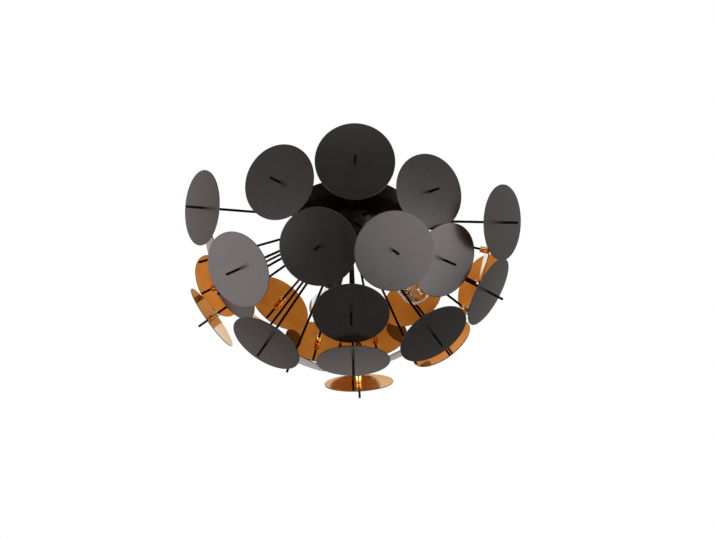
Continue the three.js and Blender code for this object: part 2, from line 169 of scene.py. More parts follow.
@dataclass(frozen=True)
class Surface:
    """One material's nodes, while a finish lays its patterns on them."""

    tree: bpy.types.NodeTree
    shader: bpy.types.Node
    place: Socket

    def clouds(self, size_mm: float, detail: float, stretch: Point = (1.0, 1.0, 1.0)) -> Socket:
        """Draws soft clouds of a real size.

        Args:
            size_mm: Width of one cloud.
            detail: Octaves of finer clouds in it.
            stretch: Factors on the three coordinates, which draw the clouds out into streaks.

        Returns:
            The socket with the clouds' value.
        """
        mapped = add_node(self.tree, "ShaderNodeMapping", {"Vector": self.place, "Scale": stretch})
        noise = add_node(
            self.tree,
            "ShaderNodeTexNoise",
            {"Vector": mapped.outputs[0], "Scale": per_size(size_mm), "Detail": detail},
        )
        return noise.outputs["Fac"]

    def tones(self, share: Socket, colour: str, other: str) -> None:
        """Colours the surface between two tones.

        Args:
            share: How much of the other tone shows, from 0 to 1.
            colour: The tone at 0.
            other: The tone at 1.
        """
        mixed = {"Factor": share, COLOUR_A: linear(colour), COLOUR_B: linear(other)}
        mix = add_node(self.tree, "ShaderNodeMix", mixed, data_type="RGBA")
        self.tree.links.new(mix.outputs[COLOUR_OUT], self.shader.inputs["Base Color"])

    def drift(self, clouds: Socket, colour: str, other: str) -> None:
        """Lets the colour drift between two tones from cloud to cloud."""
        even = add_node(self.tree, "ShaderNodeMapRange", {"Value": clouds, **CLOUD_SPAN})
        self.tones(even.outputs[0], colour, other)

    def haze(self, clouds: Socket, roughness: float, swing: float) -> None:
        """Lets the gloss change from cloud to cloud.

        Args:
            clouds: The clouds' value.
            roughness: The middle roughness.
            swing: How far it goes up and down from there.
        """
        span = {"To Min": roughness - swing, "To Max": roughness + swing}
        even = add_node(self.tree, "ShaderNodeMapRange", {"Value": clouds, **CLOUD_SPAN, **span})
        self.tree.links.new(even.outputs[0], self.shader.inputs["Roughness"])

    def relief(self, clouds: Socket, depth_mm: float) -> None:
        """Raises the surface by the clouds, to a real depth in millimetres."""
        height = {"Height": clouds, "Distance": depth_mm * MM, "Strength": 1.0}
        raised = add_node(self.tree, "ShaderNodeBump", height).outputs[0]
        self.tree.links.new(raised, self.shader.inputs["Normal"])


@dataclass(frozen=True)
class Finish:
    """A surface as one material, named for what it is and how it was made."""

    name: str
    colour: str
    roughness: float
    metallic: float = 0.0

    def material(self) -> bpy.types.Material:
        """Makes the material once, and gives the same one again afterwards.

        Returns:
            The material.
        """
        found = bpy.data.materials.get(self.name)
        if found:
            return found
        material = bpy.data.materials.new(self.name)
        material.use_nodes = True
        tree = material.node_tree
        shader = tree.nodes["Principled BSDF"]
        shader.inputs["Base Color"].default_value = linear(self.colour)
        shader.inputs["Roughness"].default_value = self.roughness
        shader.inputs["Metallic"].default_value = self.metallic
        place = add_node(tree, "ShaderNodeTexCoord").outputs["Object"]
        self.dress(Surface(tree, shader, place))
        return material

    def dress(self, surface: Surface) -> None:
        """Lays the finish's own patterns on the surface. A plain finish has none."""


@dataclass(frozen=True)
class Lacquer(Finish):
    """Sprayed stoving lacquer on sheet steel: an even tone, a faint orange peel."""

    colour_high: str = "000000"
    # Real orange peel is about 1 mm wide; it is drawn coarser so that the render can show it.
    peel_mm: float = 2.2
    peel_depth_mm: float = 0.0007
    cloud_mm: float = 45.0
    roughness_swing: float = 0.015
    gloss_tint: str = "fff4f2"
    gloss: float = 0.5

    def dress(self, surface: Surface) -> None:
        """Adds the spray's tone clouds, gloss patches and orange peel.

        Args:
            surface: The material's nodes.
        """
        surface.shader.inputs["Specular Tint"].default_value = linear(self.gloss_tint)
        surface.shader.inputs["Specular IOR Level"].default_value = self.gloss
        surface.drift(surface.clouds(self.cloud_mm, 3.0), self.colour, self.colour_high)
        surface.haze(surface.clouds(self.cloud_mm / 3, 4.0), self.roughness, self.roughness_swing)
        surface.relief(surface.clouds(self.peel_mm, 1.0), self.peel_depth_mm)


@dataclass(frozen=True)
class Plated(Finish):
    """Polished sheet metal with an electroplated skin: a mirror with a slight swim in it."""

    metallic: float = 1.0
    colour_high: str = "ffffff"
    swim_mm: float = 28.0
    swim_depth_mm: float = 0.02
    haze_mm: float = 9.0
    roughness_swing: float = 0.03
    edge_tint: str = "f2ffec"

    def dress(self, surface: Surface) -> None:
        """Adds the plating's tone drift, its hazier patches and the sheet's slight swim.

        Args:
            surface: The material's nodes.
        """
        surface.shader.inputs["Specular Tint"].default_value = linear(self.edge_tint)
        surface.drift(surface.clouds(self.swim_mm * 2, 2.0), self.colour, self.colour_high)
        surface.haze(surface.clouds(self.haze_mm, 5.0), self.roughness, self.roughness_swing)
        surface.relief(surface.clouds(self.swim_mm, 1.0), self.swim_depth_mm)


@dataclass(frozen=True)
class Machined(Finish):
    """Turned or rolled bare metal: fine streaks one way, a little tarnish between them."""

    metallic: float = 1.0
    tarnish: str = "000000"
    tarnish_mm: float = 6.0
    # Real tool marks are under 0.1 mm apart; they are drawn coarser so that they show.
    streak_mm: float = 0.5
    streak_depth_mm: float = 0.01
    stretch: Point = (1.0, 1.0, 6.0)
    roughness_swing: float = 0.08

    def dress(self, surface: Surface) -> None:
        """Adds tool streaks to the gloss and the relief, and tarnish to the colour.

        Args:
            surface: The material's nodes.
        """
        surface.drift(surface.clouds(self.tarnish_mm, 4.0), self.colour, self.tarnish)
        streaks = surface.clouds(self.streak_mm, 2.0, self.stretch)
        surface.haze(streaks, self.roughness, self.roughness_swing)
        surface.relief(streaks, self.streak_depth_mm)


@dataclass(frozen=True)
class Moulding(Finish):
    """Moulded plastic: a fine spark-eroded grain with smoother, shinier patches."""

    colour_high: str = "000000"
    flow_mm: float = 14.0
    patch_mm: float = 5.0
    roughness_swing: float = 0.06
    # A real mould's grain is about 0.1 mm; it is drawn coarser so that the render can show it.
    grain_mm: float = 0.6
    grain_depth_mm: float = 0.012

    def dress(self, surface: Surface) -> None:
        """Adds flow tone, gloss patches and the mould's grain.

        Args:
            surface: The material's nodes.
        """
        surface.drift(surface.clouds(self.flow_mm, 3.0), self.colour, self.colour_high)
        surface.haze(surface.clouds(self.patch_mm, 3.0), self.roughness, self.roughness_swing)
        surface.relief(surface.clouds(self.grain_mm, 1.0), self.grain_depth_mm)


@dataclass(frozen=True)
class BlownGlass(Finish):
    """Clear blown or pressed glass: faint waves in a smooth skin."""

    ior: float = 1.5
    wave_mm: float = 9.0
    wave_depth_mm: float = 0.003

    def dress(self, surface: Surface) -> None:
        """Makes the shader glass and adds the surface's waves.

        Args:
            surface: The material's nodes.
        """
        surface.shader.inputs["Transmission Weight"].default_value = 1.0
        surface.shader.inputs["IOR"].default_value = self.ior
        surface.relief(surface.clouds(self.wave_mm, 1.0), self.wave_depth_mm)


@dataclass(frozen=True)
class Spangled(Finish):
    """Zinc-plated steel: pale crystals of slightly different tone."""

    metallic: float = 1.0
    colour_high: str = "ffffff"
    # Plated zinc has finer crystals; they are drawn this wide so that the render can show them.
    crystal_mm: float = 3.5
    roughness_swing: float = 0.1
    grit_mm: float = 1.2
    grit_depth_mm: float = 0.01

    def dress(self, surface: Surface) -> None:
        """Adds the zinc crystals to colour and gloss, and a fine grit.

        Args:
            surface: The material's nodes.
        """
        scale = per_size(self.crystal_mm)
        crystal = add_node(
            surface.tree, "ShaderNodeTexVoronoi", {"Vector": surface.place, "Scale": scale}
        )
        grey = add_node(surface.tree, "ShaderNodeSeparateColor", {0: crystal.outputs["Color"]})
        surface.tones(grey.outputs[0], self.colour, self.colour_high)
        low, high = self.roughness - self.roughness_swing, self.roughness + self.roughness_swing
        gloss = add_node(
            surface.tree,
            "ShaderNodeMapRange",
            {"Value": grey.outputs[1], "To Min": low, "To Max": high},
        )
        surface.tree.links.new(gloss.outputs[0], surface.shader.inputs["Roughness"])
        surface.relief(surface.clouds(self.grit_mm, 2.0), self.grit_depth_mm)


# Satin black stoving lacquer: a soft sheen that lets each disc take its own grey.
DISC_BLACK = Lacquer("disc_satin_black_lacquer", "0f0e0e", 0.27, colour_high="121111")
# Gold-coloured plating over polished steel: a warm mirror that deepens where discs mirror discs.
DISC_GOLD = Plated("disc_gold_mirror_plating", "c26c1e", 0.06, colour_high="e28c33")
# The same gold plating on the eased inner edge, drawn paler than the face: a painted highlight, the
# pale line round the gold side.
DISC_EDGE_HIGHLIGHT = Plated("disc_edge_gold_plating", "d9b487", 0.25, colour_high="e2c198")
# Gold plating on a small turned sleeve: a yellow glint with light and dark bands along it.
SLEEVE_GOLD = Plated(
    "sleeve_polished_gold_plating",
    "dcb06a",
    0.14,
    colour_high="e2b872",
    swim_mm=6,
    swim_depth_mm=0.002,
)
# Lacquer on drawn rod, with next to no gloss: each rod stays a thin black line.
ROD_BLACK = Lacquer(
    "rod_satin_black_lacquer", "080606", 0.45, colour_high="0c0a09", peel_mm=1.2, gloss=0.04
)
# Matt lacquer with a warm tone: the cup's underside is brown-black and mirrors next to nothing.
CUP_BLACK = Lacquer("cup_matt_black_lacquer", "0f0804", 0.5, colour_high="130b06", gloss=0.04)
# Satin lacquer over a casting: a dark ball with a weak, soft shine.
DOME_BLACK = Lacquer("dome_satin_black_lacquer", "060504", 0.34, colour_high="080605", gloss=0.25)
# Black resin with the mould's grain: a dull grey-black beside the smoother metal.
HOLDER_BLACK = Moulding("holder_black_moulded_resin", "0d0c0c", 0.42, colour_high="141312")
# Black oxide on steel, drawn with the lacquer's patterns: a dull dark nut with faint bright edges.
NUT_BLACK = Lacquer(
    "nut_black_oxide", "0a0807", 0.45, colour_high="0e0c0a", peel_mm=1.0, gloss=0.15
)
# Pressed brass, a little tarnished: yellow metal with browner patches between the threads.
BRASS = Machined("shell_pressed_brass", "c99b4c", 0.3, tarnish="a87c38")
# Nickel plating on brass: a pale, slightly warm grey that mirrors in bands round the thread.
NICKEL = Machined("cap_nickel_plated_brass", "cfcabf", 0.24, tarnish="b3ada2")
# Tinned solder: a pale grey button with a broken shine.
SOLDER = Machined("contact_tinned_solder", "b9bbbd", 0.35, tarnish="97999b", streak_mm=1.0)
# Zinc plating on bent steel: light grey, each crystal a little brighter or duller than the next.
ZINC = Spangled("bracket_zinc_plated_steel", "9fa3a6", 0.38, colour_high="c3c7ca")
# Moulded polyamide: a milky off-white, evenly soft, with no mirror in it.
BLOCK_WHITE = Moulding("block_white_polyamide", "dcd9d0", 0.5, colour_high="e6e3da")
# Black glass: a hard wet shine on the small cone under the cap.
INSULATOR = Moulding(
    "foot_black_glass", "0a0a0c", 0.15, colour_high="101014", grain_depth_mm=0.002
)
# Clear blown glass: bright rims and bent views of what is behind, and a middle that hardly shows.
GLOBE_GLASS = BlownGlass("globe_clear_glass", "f6f8f8", 0.0)
# Pressed glass, a little green and hazy: a soft grey pillar inside the clear globe.
STEM_GLASS = BlownGlass("stem_pressed_glass", "e8efec", 0.04, ior=1.54, wave_mm=3.0)
# Drawn tungsten: a fine dull grey line.
TUNGSTEN = Machined("filament_tungsten", "8b8a88", 0.45, tarnish="6f6d6b", streak_mm=0.3)
# Matt floor paint, drawn with the moulding's patterns: an even pale ground without reflections.
# Its grain is drawn 8 mm wide, because the floor is far from the camera.
FLOOR_PAINT = Moulding("floor_matt_paint", "acaaa6", 0.85, colour_high="b0aeaa", grain_mm=8)


# Modelling steps


class Bench:
    """Modelling steps on one piece at a time, as they are made by hand."""

    wire_sides = 10
    steps_per_turn = 36

    @staticmethod
    def clear() -> None:
        """Leaves edit mode and selects nothing."""
        if bpy.context.mode != "OBJECT":
            bpy.ops.object.mode_set(mode="OBJECT")
        bpy.ops.object.select_all(action="DESELECT")

    @staticmethod
    def take(piece: bpy.types.Object) -> None:
        """Makes one piece the only selected and the active one.

        Args:
            piece: The piece to work on.
        """
        Bench.clear()
        piece.select_set(True)
        bpy.context.view_layer.objects.active = piece

    @staticmethod
    def edit(piece: bpy.types.Object) -> None:
        """Opens one piece in edit mode with nothing selected.

        Args:
            piece: The piece to work on.
        """
        Bench.take(piece)
        bpy.ops.object.mode_set(mode="EDIT")
        bpy.ops.mesh.select_all(action="DESELECT")

    @staticmethod
    def pick(piece: bpy.types.Object, side: Side, test: Callable[[object], bool]) -> None:
        """Selects the elements that pass a test, in edit mode.

        Args:
            piece: The object in edit mode.
            side: Whether faces, edges or points are tried.
            test: Takes a bmesh element and says whether it is selected.
        """
        modes = {Side.FACES: "FACE", Side.EDGES: "EDGE", Side.POINTS: "VERT"}
        bpy.ops.mesh.select_mode(type=modes[side])
        bpy.ops.mesh.select_all(action="DESELECT")
        mesh = bmesh.from_edit_mesh(piece.data)
        elements = getattr(mesh, side.value)
        elements.ensure_lookup_table()
        for element in [e for e in elements if test(e)]:
            element.select_set(True)
        mesh.select_flush_mode()
        bmesh.update_edit_mesh(piece.data)

    @staticmethod
    def close() -> None:
        """Merges doubles, turns every face outwards and goes back to object mode."""
        bpy.ops.mesh.select_all(action="SELECT")
        bpy.ops.mesh.remove_doubles(threshold=SAME_POINT)
        bpy.ops.mesh.normals_make_consistent(inside=False)
        bpy.ops.object.mode_set(mode="OBJECT")

    @staticmethod
    def smooth(piece: bpy.types.Object, degrees: float = 32.0) -> None:
        """Shades a piece smooth, with sharp edges where faces meet at more than the angle."""
        Bench.take(piece)
        bpy.ops.object.shade_smooth_by_angle(angle=math.radians(degrees))

    @staticmethod
    def apply(piece: bpy.types.Object, kind: str, **settings: object) -> None:
        """Adds a modifier with its settings and applies it.

        Args:
            piece: The piece to change.
            kind: Blender's identifier of the modifier.
            **settings: Properties of the modifier.
        """
        Bench.take(piece)
        modifier = piece.modifiers.new(kind.title(), kind)
        for key, value in settings.items():
            setattr(modifier, key, value)
        bpy.ops.object.modifier_apply(modifier=modifier.name)

    @staticmethod
    def turn(name: str, profile: Profile, sides: int, loop: bool = False) -> bpy.types.Object:
        """Turns a profile about Z, extruding one ring of edges after another.

        Args:
            name: Name of the new object.
            profile: Points as (radius, height) in millimetres. The ends lie on the axis, or the
                profile is a loop.
            sides: Number of points in each ring.
            loop: Whether the last ring is bridged to the first.

        Returns:
            The turned piece, in object mode.
        """
        Bench.clear()
        points = [(max(r, 0.0) * MM, h * MM) for r, h in profile]
        start_pole = points[0] if points[0][0] < ON_AXIS else None
        rings = points[1:] if start_pole else points
        radius, height = rings[0]
        bpy.ops.mesh.primitive_circle_add(
            vertices=sides, radius=radius, fill_type="NOTHING", location=(0, 0, height)
        )
        piece = bpy.context.object
        piece.name = name
        bpy.ops.object.transform_apply(location=True, rotation=True, scale=True)
        bpy.ops.object.mode_set(mode="EDIT")
        bpy.ops.mesh.select_mode(type="EDGE")
        bpy.ops.mesh.select_all(action="SELECT")
        for next_radius, next_height in rings[1:]:
            Bench.grow_ring(radius, height, next_radius, next_height)
            radius, height = next_radius, next_height
        if loop:
            last = (len(rings) - 1) * sides
            Bench.pick(piece, Side.POINTS, lambda v: v.index < sides or v.index >= last)
            bpy.ops.mesh.select_mode(type="EDGE")
            bpy.ops.mesh.bridge_edge_loops()
        if start_pole:
            Bench.pick(piece, Side.POINTS, lambda v: v.index < sides)
            bpy.ops.mesh.select_mode(type="EDGE")
            Bench.grow_ring(*rings[0], *start_pole)
        Bench.close()
        return piece

    @staticmethod
    def grow_ring(radius: float, height: float, next_radius: float, next_height: float) -> None:
        """Extrudes the selected ring of edges to the next one, in metres.

        Args:
            radius: The ring's own radius.
            height: The ring's own height.
            next_radius: Radius of the ring that grows from it.
            next_height: Height of that ring.
        """
        bpy.ops.mesh.extrude_edges_move(
            TRANSFORM_OT_translate={"value": (0, 0, next_height - height)}
        )
        scale = next_radius / radius
        bpy.ops.transform.resize(value=(scale, scale, 1), center_override=(0, 0, next_height))

    @staticmethod
    def prism(
        name: str, radius: float, bottom: float, top: float, sides: int, bevel: float = 0.0
    ) -> bpy.types.Object:
        """A prism about Z, its edges across the axis bevelled.

        Args:
            name: Name of the new object.
            radius: Corner radius in millimetres.
            bottom: Lower height in millimetres.
            top: Upper height in millimetres.
            sides: Number of sides.
            bevel: Width of the bevel in millimetres.

        Returns:
            The prism, in object mode.
        """
        Bench.clear()
        bpy.ops.mesh.primitive_cylinder_add(
            vertices=sides,
            radius=radius * MM,
            depth=(top - bottom) * MM,
            location=(0, 0, (top + bottom) / 2 * MM),
        )
        piece = bpy.context.object
        piece.name = name
        bpy.ops.object.transform_apply(location=True, rotation=True, scale=True)
        if bevel:
            Bench.edit(piece)
            Bench.pick(piece, Side.EDGES, lambda e: abs(e.verts[0].co.z - e.verts[1].co.z) < LEVEL)
            bpy.ops.mesh.bevel(offset=bevel * MM, segments=2)
            bpy.ops.object.mode_set(mode="OBJECT")
        return piece

    @staticmethod
    def join(name: str, pieces: Iterable[bpy.types.Object]) -> bpy.types.Object:
        """Joins pieces into the first one and names it.

        Args:
            name: Name of the joined piece.
            pieces: What is joined.

        Returns:
            The joined piece.
        """
        pieces = list(pieces)
        Bench.take(pieces[0])
        for piece in pieces[1:]:
            piece.select_set(True)
        bpy.ops.object.join()
        pieces[0].name = name
        return pieces[0]

    @staticmethod
    def copy(piece: bpy.types.Object, name: str, place: Matrix) -> bpy.types.Object:
        """A copy with its own mesh, moved to its place within that mesh.

        Args:
            piece: What is copied.
            name: Name of the copy.
            place: Where the copy's mesh goes.

        Returns:
            The copy.
        """
        twin = piece.copy()
        twin.data = piece.data.copy()
        twin.name = name
        twin.data.name = name
        bpy.context.scene.collection.objects.link(twin)
        twin.data.transform(place)
        return twin

    @staticmethod
    def discard(*pieces: bpy.types.Object) -> None:
        """Removes the patterns that copies were made from.

        Args:
            *pieces: The patterns.
        """
        for piece in pieces:
            mesh = piece.data
            bpy.data.objects.remove(piece)
            bpy.data.meshes.remove(mesh)

    @staticmethod
    def coil(
        name: str,
        radius: float,
        wire: tuple[float, float],
        pitch: float,
        start: float,
        turns: float,
    ) -> bpy.types.Object:
        """A helical ridge about Z with closed ends.

        Args:
            name: Name of the new object.
            radius: Radius of the ridge's middle line in millimetres.
            wire: The ridge's half height outwards and half width along Z.
            pitch: Rise in one turn.
            start: Height at which it starts.
            turns: Number of turns.

        Returns:
            The ridge, in object mode.
        """
        steps = round(Bench.steps_per_turn * turns)
        Bench.clear()
        bpy.ops.mesh.primitive_circle_add(
            vertices=Bench.wire_sides,
            radius=MM,
            fill_type="NOTHING",
            location=(radius * MM, 0, start * MM),
            rotation=(math.pi / 2, 0, 0),
        )
        piece = bpy.context.object
        piece.name = name
        piece.scale = (wire[0], wire[1], 1)
        bpy.ops.object.transform_apply(location=True, rotation=True, scale=True)
        Bench.apply(
            piece,
            "SCREW",
            axis="Z",
            angle=math.tau * turns,
            screw_offset=pitch * turns * MM,
            steps=steps,
            render_steps=steps,
            use_merge_vertices=False,
        )
        Bench.edit(piece)
        Bench.pick(piece, Side.EDGES, lambda e: e.is_boundary)
        bpy.ops.mesh.fill_holes(sides=0)
        Bench.close()
        return piece

    @staticmethod
    def refined(node: str, name: str, bevel: float, degrees: float = 30.0) -> bpy.types.Object:
        """A copy of a CAD node with its flat faces whole again and its sharp edges eased.

        Args:
            node: The CAD node.
            name: Name of the new object.
            bevel: Width of the eased edge in millimetres.
            degrees: Edges sharper than this are eased.

        Returns:
            The refined piece, in object mode.
        """
        piece = Bench.copy(frame["nodes"][node], name, Matrix.Identity(4))
        piece.parent = None
        for key in list(piece.keys()):
            del piece[key]
        piece.data.materials.clear()
        Bench.edit(piece)
        bpy.ops.mesh.select_all(action="SELECT")
        bpy.ops.mesh.remove_doubles(threshold=SAME_CAD_POINT)
        bpy.ops.mesh.dissolve_limited(angle_limit=math.radians(1.0))
        Bench.close()
        Bench.apply(
            piece,
            "BEVEL",
            width=bevel * MM,
            segments=2,
            limit_method="ANGLE",
            angle_limit=math.radians(degrees),
            use_clamp_overlap=True,
        )
        return piece


def finish_piece(
    piece: bpy.types.Object,
    body: str,
    finishes: Sequence[Finish],
    nodes: Sequence[str] = (),
    degrees: float | None = 32.0,
) -> None:
    """Dresses a piece, hangs it on its body and hides the CAD nodes that it stands for.

    Args:
        piece: The modelled object, in its final place.
        body: The CAD body that it moves with.
        finishes: One finish for each material index of its faces.
        nodes: CAD nodes that it stands for.
        degrees: Angle for smooth shading, or nothing where the shading is already set.
    """
    for finish in finishes:
        piece.data.materials.append(finish.material())
    if degrees is not None:
        Bench.smooth(piece, degrees)
    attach(piece, body)
    if nodes:
        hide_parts(*nodes)
    log.info("%s: %d faces on body %s", piece.name, len(piece.data.polygons), body)


@dataclass(frozen=True)
class Aim:
    """A line out of the hub's centre, which is in metres."""

    hub: Vector
    axis: Vector

    def place(self, distance: float = 0.0, spin: float = 0.0) -> Matrix:
        """The placement whose local +Z is this line.

        Args:
            distance: Millimetres out along the line.
            spin: Degrees about the line.

        Returns:
            The placement in the frame of the CAD model.
        """
        turn = self.axis.to_track_quat("Z", "Y").to_matrix().to_4x4()
        where = Matrix.Translation(self.hub + self.axis * distance * MM)
        return where @ turn @ Matrix.Rotation(math.radians(spin), 4, "Z")


# Rods and discs


@dataclass
class DiscBasket:
    """The 31 rods, each with its disc, gold sleeve and lock nut."""

    hub: Vector
    dome_radius: float = 40.0
    rod_radius: float = 1.7
    rod_in_wall: float = 3.7
    rod_tip: float = 21.5
    # The foot of the rod's pattern, before each copy is lengthened to its own reach.
    pattern_foot: float = -100.0
    thread_pitch: float = 0.7
    thread_depth: float = 0.16
    thread_turns: int = 9
    thread_end: float = 8.0
    disc_radius: float = 50.0
    disc_sheet: float = 1.2
    disc_sides: int = 112
    disc_dome: float = 0.9
    hole_gap: float = 0.15
    hole_ease: float = 0.1
    rim_ease: float = 0.35
    rim_band: float = 0.8
    # Faces whose normals point inwards by more than this are the mirror side.
    mirror_slope: float = -0.98
    # The pale edge, a painted highlight, reaches up from the inner face by this share of the eased
    # corner.
    edge_share: float = 0.4
    sleeve_radius: float = 4.5
    sleeve_length: float = 11.0
    sleeve_gap: float = 0.05
    groove_depth: float = 0.3
    grub_radius: float = 1.35
    grub_key: float = 0.55
    grub_key_depth: float = 0.4
    washer_radius: float = 3.6
    washer_height: float = 0.5
    nut_across: float = 5.5
    nut_height: float = 2.4
    # Each copy is turned on from the last, so that grub screws and nuts face different ways.
    spin_step: float = 47.0
    body: str = "lamp"

    def read(self, node: str) -> tuple[Aim, float]:
        """Reads a rod's line and its disc's reach from the CAD node's tip.

        Args:
            node: Name of the CAD node.

        Returns:
            The rod's line, and the disc's outer face in millimetres from the hub's centre.
        """
        arms = [v.co - self.hub for v in frame["nodes"][node].data.vertices]
        far = max(a.length for a in arms)
        tips = [a for a in arms if far - a.length < 0.05 * MM]
        middle = sum(tips, Vector()) / len(tips)
        return Aim(self.hub, middle.normalized()), middle.length / MM - self.rod_tip

    def model_disc(self) -> bpy.types.Object:
        """The disc about Z: a faintly domed sheet with an eased rim, a real hole and two faces.

        Returns:
            The disc, its faces marked black, gold or pale edge; the pale edge is a painted
            highlight.
        """
        r, low, ease = self.disc_radius, -self.disc_sheet, self.rim_ease
        hole = self.rod_radius + self.hole_gap
        chamfer = self.hole_ease
        flat = r - ease - self.rim_band
        radii = [hole + 1.0, *(flat * share for share in (0.25, 0.5, 0.75, 1.0))]

        def dome(radius: float, height: float) -> tuple[float, float]:
            """Lowers a point of the flat sheet onto its dome."""
            return radius, height - self.disc_dome * (radius / r) ** 2

        profile = [
            (hole, low + chamfer),
            (hole, -chamfer),
            (hole + chamfer, 0.0),
            *((radius, 0.0) for radius in radii),
            *arc((r - ease, -ease), ease, 90, 0, 4),
            *arc((r - ease, low + ease), ease, 0, -90, 4),
            *((radius, low) for radius in reversed(radii)),
            (hole + chamfer, low),
        ]
        domed = [dome(*point) for point in profile]
        disc = Bench.turn("disc_pattern", domed, self.disc_sides, loop=True)
        rim_bottom = (low + ease * self.edge_share - self.disc_dome) * MM
        for face in disc.data.polygons:
            if face.normal.z < self.mirror_slope:
                face.material_index = 1
            # Faces of the eased inner edge take the paler plating, which is a painted highlight.
            elif face.center.z < rim_bottom:
                face.material_index = 2
        return disc

    def model_sleeve(self) -> bpy.types.Object:
        """The sleeve behind the disc: eased ends, a turned groove and a grub screw.

        Returns:
            The sleeve with its screw.
        """
        near = -self.disc_sheet
        far = near - self.sleeve_length
        r = self.sleeve_radius
        hole = self.rod_radius + self.sleeve_gap
        groove = r - self.groove_depth
        profile = [
            (hole, near),
            (r - 0.35, near),
            (r - 0.1, near - 0.1),
            (r, near - 0.35),
            (r, near - 1.5),
            (groove, near - 1.8),
            (groove, near - 2.2),
            (r, near - 2.5),
            (r, far + 0.25),
            (r - 0.1, far + 0.08),
            (r - 0.3, far),
            (hole + 0.4, far),
            (hole, far + 0.4),
        ]
        sleeve = Bench.turn("sleeve_pattern", profile, 40, loop=True)
        screw = Bench.prism("grub", self.grub_radius, r - 0.5, r + 0.06, 20, bevel=0.1)
        Bench.edit(screw)
        Bench.pick(screw, Side.FACES, lambda f: f.normal.z > 0.99 and len(f.verts) > 4)
        bpy.ops.mesh.inset(thickness=self.grub_key * MM)
        bpy.ops.mesh.extrude_region_move(
            TRANSFORM_OT_translate={"value": (0, 0, -self.grub_key_depth * MM)}
        )
        bpy.ops.object.mode_set(mode="OBJECT")
        screw.data.transform(
            Matrix.Translation((0, 0, (near + far) / 2 * MM)) @ Matrix.Rotation(math.pi / 2, 4, "Y")
        )
        return Bench.join("sleeve_pattern", [sleeve, screw])

    def model_rod(self) -> bpy.types.Object:
        """The rod about Z, with a rounded tip, and rings for the thread at its end in the dome.

        Returns:
            The rod's pattern.
        """
        r = self.rod_radius
        foot = self.pattern_foot
        threads = []
        for i in range(self.thread_turns):
            at = foot + 0.4 + self.thread_pitch * i
            threads += [(r - self.thread_depth, at), (r, at + self.thread_pitch / 2)]
        profile = [
            (0.0, foot),
            (r - 0.3, foot),
            *threads,
            (r, foot + self.thread_end),
            (r, self.rod_tip - 0.5),
            (r - 0.12, self.rod_tip - 0.2),
            (r - 0.5, self.rod_tip),
            (0.0, self.rod_tip),
        ]
        return Bench.turn("rod_pattern", profile, 20)

    def model_nut(self) -> bpy.types.Object:
        """The lock nut and its washer where the rod leaves the dome.

        Returns:
            Nut and washer in one piece.
        """
        seat = math.sqrt(self.dome_radius**2 - self.washer_radius**2)
        top = seat + self.washer_height
        washer = Bench.prism("nut_pattern", self.washer_radius, seat, top, 32, bevel=0.12)
        corner = self.nut_across / 2 / math.cos(math.pi / 6)
        nut = Bench.prism("nut", corner, top, top + self.nut_height, 6, bevel=0.3)
        return Bench.join("nut_pattern", [washer, nut])

    def make(self) -> None:
        """Makes every rod with what it carries."""
        disc, sleeve = self.model_disc(), self.model_sleeve()
        rod, nut = self.model_rod(), self.model_nut()
        for piece in (disc, sleeve, rod, nut):
            Bench.smooth(piece)
        nodes = sorted(n for n in frame["nodes"] if "_disc" in n)
        for i, node in enumerate(nodes):
            aim, reach = self.read(node)
            stem = node.replace("_disc", "")
            spin = self.spin_step * i
            place = aim.place(reach, spin)
            kinds = [
                (disc, "disc", [DISC_BLACK, DISC_GOLD, DISC_EDGE_HIGHLIGHT], place),
                (sleeve, "sleeve", [SLEEVE_GOLD], place),
                (rod, "rod", [ROD_BLACK], place),
                (nut, "lock_nut", [NUT_BLACK], aim.place(0.0, spin)),
            ]
            for pattern, kind, finishes, where in kinds:
                piece = Bench.copy(pattern, f"{stem}_{kind}", Matrix.Identity(4))
                if pattern is rod:
                    self.stretch(piece, reach)
                piece.data.transform(where)
                finish_piece(piece, self.body, finishes, [node], degrees=None)
        Bench.discard(disc, sleeve, rod, nut)

    def stretch(self, rod: bpy.types.Object, reach: float) -> None:
        """Moves a rod's foot from the pattern's length to its hole in the dome's wall.

        Args:
            rod: The copy of the pattern, still about Z.
            reach: Its disc's outer face in millimetres from the hub's centre.
        """
        foot = self.dome_radius - self.rod_in_wall - reach
        for point in rod.data.vertices:
            if point.co.z < self.pattern_foot / 2 * MM:
                point.co.z += (foot - self.pattern_foot) * MM


# Ceiling side


